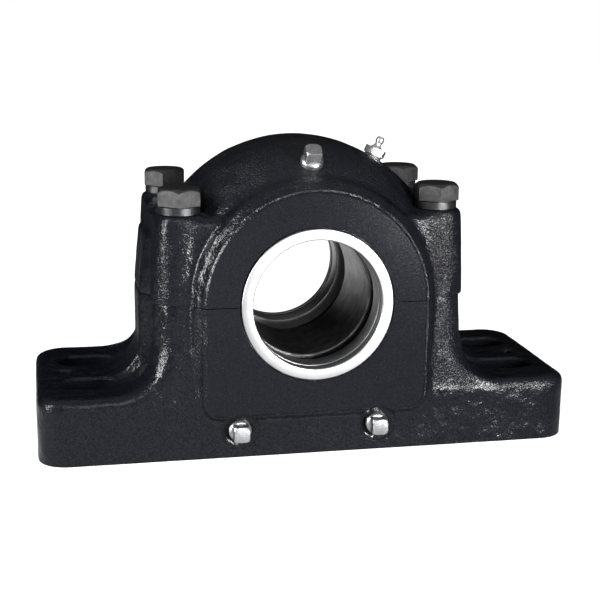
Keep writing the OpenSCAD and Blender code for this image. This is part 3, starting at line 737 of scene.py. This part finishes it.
for x, y in BOLTS:
    cut(base, post(THREAD_RADIUS, 0.042, (x, y, 0.101), "Z", 48))
    cut(cap, post(CLEAR_RADIUS, 0.070, (x, y, 0.155), "Z", 48))
    cut(cap, post(SEAT_RADIUS, 0.040, (x, y, SEAT_Z + 0.020), "Z", 96))
for side in (-1, 1):
    for piece in (base, cap):
        cut(piece, post(DOWEL_RADIUS, DOWEL_LENGTH, (side * DOWEL_X, 0, SPLIT_Z), "Z", 48))
    cut(base, post(MARK_RADIUS, 0.004, (side * MARK_X, MARK_Y, 0.050), "Z", 32))
for x, y in SLOTS:
    cut(base, slot_shape(x, y, SLOT_CUTTER))
for foot in DRAINS:
    cut(base, leaning_post(DRAIN_FACE_RADIUS, 0, 0.020, foot, math.pi / 2, "X", 64))
    cut(base, leaning_post(DRAIN_RADIUS, -0.013, 0.002, foot, math.pi / 2, "X"))
for radius, low, high in CROWN_HOLE:
    cut(cap, plug_post(radius, low, high))
for radius, low, high in FITTING_HOLE:
    cut(cap, fitting_post(radius, low, high))
print("drilled: base", len(base.data.polygons), "faces, cap", len(cap.data.polygons))

# %% [markdown]
# ## Paint by place
#
# A cut keeps the finish of the skin around it, so the bored faces and the
# slots' walls are found by their place and given their own material slot.
# Then the two castings stand for their solids in the frame.

# %% Bored faces, slot walls and the frame
# half length and radius of each turned zone, with a little to spare
BORED_ZONES = ((0.0358, 0.1002), (0.0541, 0.0862), (0.082, 0.0702))


def give_slot(piece, slot, wanted):
    """Gives faces a material slot by their place and direction."""
    count = 0
    for face in piece.data.polygons:
        if wanted(face.center, face.normal):
            face.material_index = slot
            count += 1
    return count


def in_bore(c, n):
    out = math.hypot(c.x, c.z - SHAFT_AXIS.z)
    return any(abs(c.y) < half and out < radius for half, radius in BORED_ZONES)


def in_slot(c, n):
    along, across = abs(abs(c.x) - SLOT_X), abs(abs(c.y) - SLOT_Y)
    return along < 0.0235 and across < 0.0145 and c.z < 0.0600 and abs(n.z) < 0.5


print("slot walls:", give_slot(base, FACE_SLOT, in_slot))
for piece, solid in ((base, "housing_base"), (cap, "housing_cap")):
    print(piece.name, "bored faces:", give_slot(piece, BORE_SLOT, in_bore))
    take(piece)
    bpy.ops.object.shade_smooth_by_angle(angle=math.radians(28))
    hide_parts(solid)
    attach(piece, "housing")

# %% [markdown]
# ## Bolts and washers
#
# A forged head has a small round on every edge, and that round is what
# catches the light. Each bolt starts as a copy of its solid. Flat facets are
# merged first, so that the bevel runs only along real edges. A thin groove
# under the head parts it from its washer with a dark line, as the washer
# face does on a real bolt. The steel is darkened by oil and handling.

# %% Bolts and washers
BEVEL_STEPS = 2
HEAD_CORNER_ROUND, WASHER_ROUND = 0.0006, 0.0008
RELIEF_OUT, RELIEF_IN, RELIEF_HIGH = 0.0210, 0.0146, 0.0012
FLAT_ENOUGH = math.radians(0.6)
SHARP = math.radians(28)
HARDWARE_SMOOTH = math.radians(25)

BOLT = Finish("bolt steel", (0.10, 0.10, 0.10), 0.9, 0.28)
grime = BOLT.group(STAIN, Clouds_per_metre=220.0)
BOLT.bump(grime["Specks"], 0.8, 0.00014)
BOLT.colours(grime["Clouds"], (0.045, 0.045, 0.045))
BOLT.roughness(grime["Specks"], 0.28, 0.48)

WASHER = Finish("washer steel", (0.085, 0.085, 0.088), 0.9, 0.32)
washer_grime = WASHER.group(STAIN, Clouds_per_metre=260.0)
WASHER.bump(washer_grime["Specks"], 0.4, 0.0001)
WASHER.colours(washer_grime["Clouds"], (0.05, 0.05, 0.053))


def soft_copy(node_name, name, width):
    """A bevelled copy of a small part that stands for its solid in the frame."""
    piece = copy_of_node(node_name, name)
    bpy.ops.object.mode_set(mode="EDIT")
    bpy.ops.mesh.select_all(action="SELECT")
    bpy.ops.mesh.dissolve_limited(angle_limit=FLAT_ENOUGH)
    bpy.ops.object.mode_set(mode="OBJECT")
    use_modifier(piece, "BEVEL", width=width, segments=BEVEL_STEPS, limit_method="ANGLE",
                 angle_limit=SHARP, use_clamp_overlap=True)
    bpy.ops.object.shade_smooth_by_angle(angle=HARDWARE_SMOOTH)
    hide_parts(node_name)
    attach(piece, "housing")
    return piece


for (x, y), corner in zip(BOLTS, ("front_left", "rear_left", "front_right", "rear_right")):
    bolt = soft_copy("cap_bolt_" + corner, "bolt_" + corner, HEAD_CORNER_ROUND)
    washer = soft_copy("lock_washer_" + corner, "washer_" + corner, WASHER_ROUND)
    head_low = max(vertex.co.z for vertex in washer.data.vertices)
    relief = post(RELIEF_OUT, RELIEF_HIGH, (x, y, head_low + 0.0004), "Z", 64)
    cut(relief, post(RELIEF_IN, 0.010, (x, y, head_low), "Z", 64))
    cut(bolt, relief)
    bpy.ops.object.shade_smooth_by_angle(angle=HARDWARE_SMOOTH)
    paint_on(bolt, BOLT)
    paint_on(washer, WASHER)
    print(bolt.name, "head from", round(head_low / MM, 2), "mm")

# %% [markdown]
# ## Plugs and grease fitting
#
# The plugs are zinc plated and have been gripped by a wrench, so clouds and
# specks change their gloss. The fitting is newer, brighter zinc. All of them
# are softened as the bolts are, the fitting with a finer bevel.

# %% Plugs and fitting
ZINC = Finish("zinc plate", (0.54, 0.54, 0.55), 0.95, 0.30)
zinc_stain = ZINC.group(STAIN, Clouds_per_metre=240.0)
ZINC.bump(zinc_stain["Specks"], 0.35, 0.0001)
ZINC.colours(zinc_stain["Clouds"], (0.38, 0.38, 0.39))
ZINC.roughness(zinc_stain["Specks"], 0.24, 0.42)

BRIGHT = Finish("bright zinc", (0.82, 0.82, 0.83), 0.85, 0.22)
bright_stain = BRIGHT.group(STAIN, Clouds_per_metre=300.0)
BRIGHT.colours(bright_stain["Clouds"], (0.62, 0.62, 0.64))
BRIGHT.roughness(bright_stain["Specks"], 0.12, 0.28)

for plug in ("drain_plug_left", "drain_plug_right", "crown_plug"):
    paint_on(soft_copy(plug, plug + "_soft", 0.0006), ZINC)
fitting = soft_copy("grease_fitting", "fitting_soft", 0.0003)
paint_on(fitting, BRIGHT)
print("plugs and fitting softened:", len(fitting.data.polygons), "faces in the fitting")

# %% [markdown]
# ## Turned rings and sleeve
#
# The seal rings and the sleeve are turned parts, so they are turned here too:
# a profile of radius by distance along the shaft is spun around the shaft's
# axis. A small bevel then rounds the corners that the lathe leaves.


# %% Turning
SPIN_STEPS = 192
TURNED_SMOOTH = math.radians(32)


def turned(name, profile, side, width):
    """Spins a closed profile of (radius, distance along Y), in millimetres."""
    mesh = bpy.data.meshes.new(name)
    points = [(0, side * y * MM, SHAFT_AXIS.z + r * MM) for r, y in profile]
    mesh.from_pydata(points, [(i, (i + 1) % len(points)) for i in range(len(points))], [])
    piece = new_object(name, mesh)
    take(piece)
    bpy.ops.object.mode_set(mode="EDIT")
    bpy.ops.mesh.select_all(action="SELECT")
    bpy.ops.mesh.spin(steps=SPIN_STEPS, angle=2 * math.pi, center=SHAFT_AXIS, axis=(0, 1, 0))
    bpy.ops.mesh.select_all(action="SELECT")
    bpy.ops.mesh.remove_doubles(threshold=MERGE)
    bpy.ops.mesh.normals_make_consistent(inside=False)
    bpy.ops.object.mode_set(mode="OBJECT")
    use_modifier(piece, "BEVEL", width=width, segments=3, limit_method="ANGLE",
                 angle_limit=math.radians(25))
    bpy.ops.object.shade_smooth_by_angle(angle=TURNED_SMOOTH)
    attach(piece, "inner_group")
    return piece


print("turning in", SPIN_STEPS, "steps")

# %% [markdown]
# A seal ring runs in the housing without touching it: two fins reach into the
# housing's grooves, and a groove inside holds an O-ring. Its face is clean
# turned steel, the brightest thing in the picture, so its marks are fine and
# its stains are faint.

# %% Seal rings
RING = Finish("turned ring steel", (0.56, 0.56, 0.57), 1.0, 0.42, centre=SHAFT_AXIS)
ring_marks = RING.group(LATHE)
RING.bump(ring_marks["Height"], 0.25, 0.00004)
ring_stain = RING.group(STAIN, Clouds_per_metre=70.0)
RING.colours(ring_stain["Clouds"], (0.47, 0.47, 0.48))
RING.roughness(ring_marks["Streaks"], 0.30, 0.50)

RING_PROFILE = [
    (50.046, 90.9), (50.646, 91.5), (58.1, 91.5), (58.7, 90.9), (58.7, 80.7), (68.7, 80.7),
    (68.7, 77.7), (58.7, 77.7), (58.7, 71.7), (68.7, 71.7), (68.7, 68.7), (58.7, 68.7),
    (58.7, 62.7), (50.646, 62.7), (50.046, 63.3), (50.046, 80.29), (53.476, 80.29),
    (53.476, 84.71), (50.046, 84.71),
]
for side, end in ((-1, "front"), (1, "rear")):
    ring = turned("seal_ring_soft_" + end, RING_PROFILE, side, 0.00025)
    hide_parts("seal_ring_" + end)
    paint_on(ring, RING)
    print(ring.name, len(ring.data.polygons), "faces")

# %% [markdown]
# The sleeve is what shows through the ring: a bore of darker steel with oil
# clouds, and a slit along it that lets it close on the shaft. The slit is one
# thin box, cut through one wall.

# %% Sleeve
SLEEVE = Finish("sleeve steel", (0.32, 0.32, 0.325), 1.0, 0.30, centre=SHAFT_AXIS)
sleeve_marks = SLEEVE.group(LATHE, Rings_per_metre=1800.0, Along_per_metre=1800.0)
sleeve_stain = SLEEVE.group(STAIN, Clouds_per_metre=110.0)
sleeve_turned = SLEEVE.bump(sleeve_marks["Height"], 0.35, 0.00006)
SLEEVE.bump(sleeve_stain["Specks"], 0.6, 0.00012, under=sleeve_turned)
SLEEVE.colours(sleeve_stain["Clouds"], (0.11, 0.11, 0.113))

SLEEVE_PROFILE = [
    (51.006, -49), (53.7, -49), (54.7, -48), (54.7, -27.5), (54.938, -27.5), (57.459, 33),
    (51.006, 33), (50.006, 32), (50.006, -48),
]
SLIT_AT, SLIT_SIZE = (0, -0.008, 0.176), (0.003, 0.120, 0.020)
sleeve = turned("sleeve_soft", SLEEVE_PROFILE, 1, 0.0002)
bpy.ops.object.select_all(action="DESELECT")
bpy.ops.mesh.primitive_cube_add(size=1, location=SLIT_AT)
bpy.context.object.scale = SLIT_SIZE
cut(sleeve, settle(bpy.context.object))
bpy.ops.object.shade_smooth_by_angle(angle=TURNED_SMOOTH)
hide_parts("adapter_sleeve")
paint_on(sleeve, SLEEVE)
print("turned:", len(sleeve.data.polygons), "faces in the sleeve")

# %% [markdown]
# ## Parts inside
#
# The bearing's parts keep the frame's shapes and only get their finishes:
# races and rollers are ground bright, the cage is turned from cast brass, the
# nut and the locating rings are blackened, and the O-rings are rubber.

# %% Finishes of the parts inside
RACE = Finish("ground race steel", (0.66, 0.66, 0.67), 1.0, 0.14, centre=SHAFT_AXIS)
race_marks = RACE.group(LATHE, Rings_per_metre=4000.0, Along_per_metre=4000.0)
RACE.bump(race_marks["Height"], 0.15, 0.00002)
RACE.roughness(race_marks["Streaks"], 0.1, 0.22)

DARK = Finish("blackened steel", (0.10, 0.10, 0.105), 0.8, 0.4, centre=SHAFT_AXIS)
dark_marks = DARK.group(LATHE, Rings_per_metre=1500.0, Along_per_metre=1500.0)
DARK.bump(dark_marks["Height"], 0.3, 0.00006)
DARK.colours(dark_marks["Streaks"], (0.06, 0.06, 0.065))

BRASS = Finish("cast brass", (0.60, 0.40, 0.16), 1.0, 0.3, centre=SHAFT_AXIS)
brass_marks = BRASS.group(LATHE, Rings_per_metre=2000.0, Along_per_metre=2000.0)
BRASS.bump(brass_marks["Height"], 0.25, 0.00005)
BRASS.colours(brass_marks["Streaks"], (0.46, 0.29, 0.10))

RUBBER = Finish("seal rubber", (0.012, 0.012, 0.012), 0.0, 0.55)
rubber_dust = RUBBER.group(STAIN, Clouds_per_metre=400.0)
RUBBER.colours(rubber_dust["Clouds"], (0.022, 0.022, 0.022))

INSIDE = {
    "outer_race": RACE, "inner_race": RACE, "rollers_front": RACE, "rollers_rear": RACE,
    "roller_cage": BRASS, "guide_ring": RACE, "lock_nut": DARK, "tab_washer": SLEEVE,
    "locating_ring_front": DARK, "locating_ring_rear": DARK, "dowel_pin_left": RACE,
    "dowel_pin_right": RACE, "seal_o_ring_front": RUBBER, "seal_o_ring_rear": RUBBER,
    "check_ball": BRIGHT,
}
for node_name, finish in INSIDE.items():
    paint_on(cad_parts[node_name], finish)
print("inner parts finished:", len(INSIDE))

# %% [markdown]
# ## The floor
#
# The floor is plain white, and its glow is seen by the camera and in mirrors
# only, so it adds no light to the object and keeps its shadow. Black gloss
# shows what it mirrors, so the floor's glow is dimmer in mirrors far out at
# the sides and in the rear corners: that keeps the feet's tops black.

# %% Floor
FLOOR_SIZE = 12
FLOOR_DROP = 0.0002
FLOOR_WHITE = (0.86, 0.86, 0.86, 1)
FLOOR_MIRRORED = (0.03, 0.03, 0.03, 1)
GLOW_CENTRE_X = 0.20

bpy.ops.object.select_all(action="DESELECT")
bpy.ops.mesh.primitive_plane_add(size=FLOOR_SIZE, location=(0, 0, -FLOOR_DROP))
floor = bpy.context.object
floor.name = floor.data.name = "floor"
floor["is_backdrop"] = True

floor_paint = bpy.data.materials.new("floor")
floor_paint.use_nodes = True
tree = floor_paint.node_tree
diffuse = tree.nodes["Principled BSDF"]
diffuse.inputs["Roughness"].default_value = 0.9
diffuse.inputs["Specular IOR Level"].default_value = 0.0
path = node(tree, "ShaderNodeLightPath").outputs
floor_colour = node(tree, "ShaderNodeMix", data_type="RGBA")
floor_colour.inputs["A"].default_value = FLOOR_WHITE
floor_colour.inputs["B"].default_value = FLOOR_MIRRORED
tree.links.new(path["Is Glossy Ray"], floor_colour.inputs["Factor"])
tree.links.new(floor_colour.outputs["Result"], diffuse.inputs["Base Color"])

own = node(tree, "ShaderNodeTexCoord").outputs["Object"]
reach = node(tree, "ShaderNodeVectorMath", operation="LENGTH")
tree.links.new(own, reach.inputs[0])
far_off = spread(tree, reach.outputs["Value"], 0.35, 0.85, 0.72, 1.0)
across = node(tree, "ShaderNodeSeparateXYZ")
tree.links.new(own, across.inputs[0])
off_centre = maths(tree, "ABSOLUTE", maths(tree, "ADD", across.outputs["X"], GLOW_CENTRE_X))
far_sides = spread(tree, off_centre, 0.22, 0.58, 0.04, 0.90)
off_middle = spread(tree, maths(tree, "ABSOLUTE", across.outputs["X"]), 0.10, 0.17)
to_the_rear = spread(tree, across.outputs["Y"], 0.05, 0.25, 0.0, 0.98)
dimmed = maths(tree, "MAXIMUM", far_sides, maths(tree, "MULTIPLY", off_middle, to_the_rear))
dimmed_in_mirrors = maths(tree, "MULTIPLY", path["Is Glossy Ray"], dimmed)
mirror_share = maths(tree, "SUBTRACT", 1.0, dimmed_in_mirrors)
seen = maths(tree, "MAXIMUM", path["Is Camera Ray"],
             maths(tree, "MAXIMUM", path["Is Glossy Ray"], path["Is Transmission Ray"]))
shown = maths(tree, "MULTIPLY", maths(tree, "MULTIPLY", seen, far_off), mirror_share)

glow = node(tree, "ShaderNodeEmission")
both = node(tree, "ShaderNodeAddShader")
tree.links.new(shown, glow.inputs["Strength"])
tree.links.new(diffuse.outputs[0], both.inputs[0])
tree.links.new(glow.outputs[0], both.inputs[1])
tree.links.new(both.outputs[0], tree.nodes["Material Output"].inputs["Surface"])
floor.data.materials.append(floor_paint)
print("floor", FLOOR_SIZE, "m wide")

# %% [markdown]
# ## The world
#
# The camera sees the world as white. Mirrors see a soft studio instead:
# towards the front it gets paler with height, and elsewhere it is black up to
# a dim ceiling. Everything else gets an even fill. A world's Generated
# coordinates are the direction of the ray.

# %% World
WORLD_FILL = 0.22

world = bpy.data.worlds.new("studio")
bpy.context.scene.world = world
world.use_nodes = True
tree = world.node_tree
path = node(tree, "ShaderNodeLightPath").outputs
direction = node(tree, "ShaderNodeSeparateXYZ")
tree.links.new(node(tree, "ShaderNodeTexCoord").outputs["Generated"], direction.inputs[0])
rising = spread(tree, direction.outputs["Z"], 0.0, 0.60, 0.26, 0.52)
front = spread(tree, direction.outputs["Y"], -0.5, 0.2, 1.0, 0.0)
ceiling = spread(tree, direction.outputs["Z"], 0.50, 0.75, 0.0, 0.28)
mirrored = maths(tree, "MAXIMUM", maths(tree, "MULTIPLY", rising, front), ceiling)
fill = maths(tree, "ADD", maths(tree, "MULTIPLY", path["Is Glossy Ray"],
                                maths(tree, "SUBTRACT", mirrored, WORLD_FILL)), WORLD_FILL)
strength = node(tree, "ShaderNodeMix", data_type="FLOAT")
clear = maths(tree, "MAXIMUM", path["Is Camera Ray"], path["Is Transmission Ray"])
tree.links.new(clear, strength.inputs["Factor"])
tree.links.new(fill, strength.inputs["A"])
strength.inputs["B"].default_value = 1.0
background = tree.nodes["Background"]
background.inputs["Color"].default_value = (1, 1, 1, 1)
tree.links.new(strength.outputs["Result"], background.inputs["Strength"])
print("world fill", WORLD_FILL)

# %% [markdown]
# ## The lamps
#
# A tall soft strip at the left grazes the columns and the hub's edge, a
# smaller box at the right front picks out the grain on the right columns, and
# a wide weak one fills the front.

# %% Lamps
# name, place, aim, width, height and power in watts
LAMPS = (
    ("left strip", (-1.1, -0.33, 0.48), (0, 0, 0.14), 0.14, 0.90, 17),
    ("right box", (0.51, -1.03, 0.22), (0.08, 0, 0.14), 0.17, 0.38, 17),
    ("front fill", (-0.1, -1.6, 1.1), (0, 0, 0.12), 1.2, 0.6, 6),
)
for name, at, aim, width, height, power in LAMPS:
    data = bpy.data.lights.new(name, "AREA")
    data.shape = "RECTANGLE"
    data.size = width
    data.size_y = height
    data.energy = power
    lamp = new_object(name, data)
    lamp.location = at
    lamp.rotation_euler = (Vector(aim) - Vector(at)).to_track_quat("-Z", "Y").to_euler()
    print(name, power, "W")

# %% [markdown]
#
# The dressed model stays inside the frame's own box, apart from the wavy skin of the castings. Both
# boxes are printed.

# %% Finish
scene_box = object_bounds()
sizes = {"cad": [list(corner) for corner in cad_box],
         "scene": [list(corner) for corner in scene_box]}
for label, box in sizes.items():
    print(label, [[round(v / MM, 2) for v in corner] for corner in box])
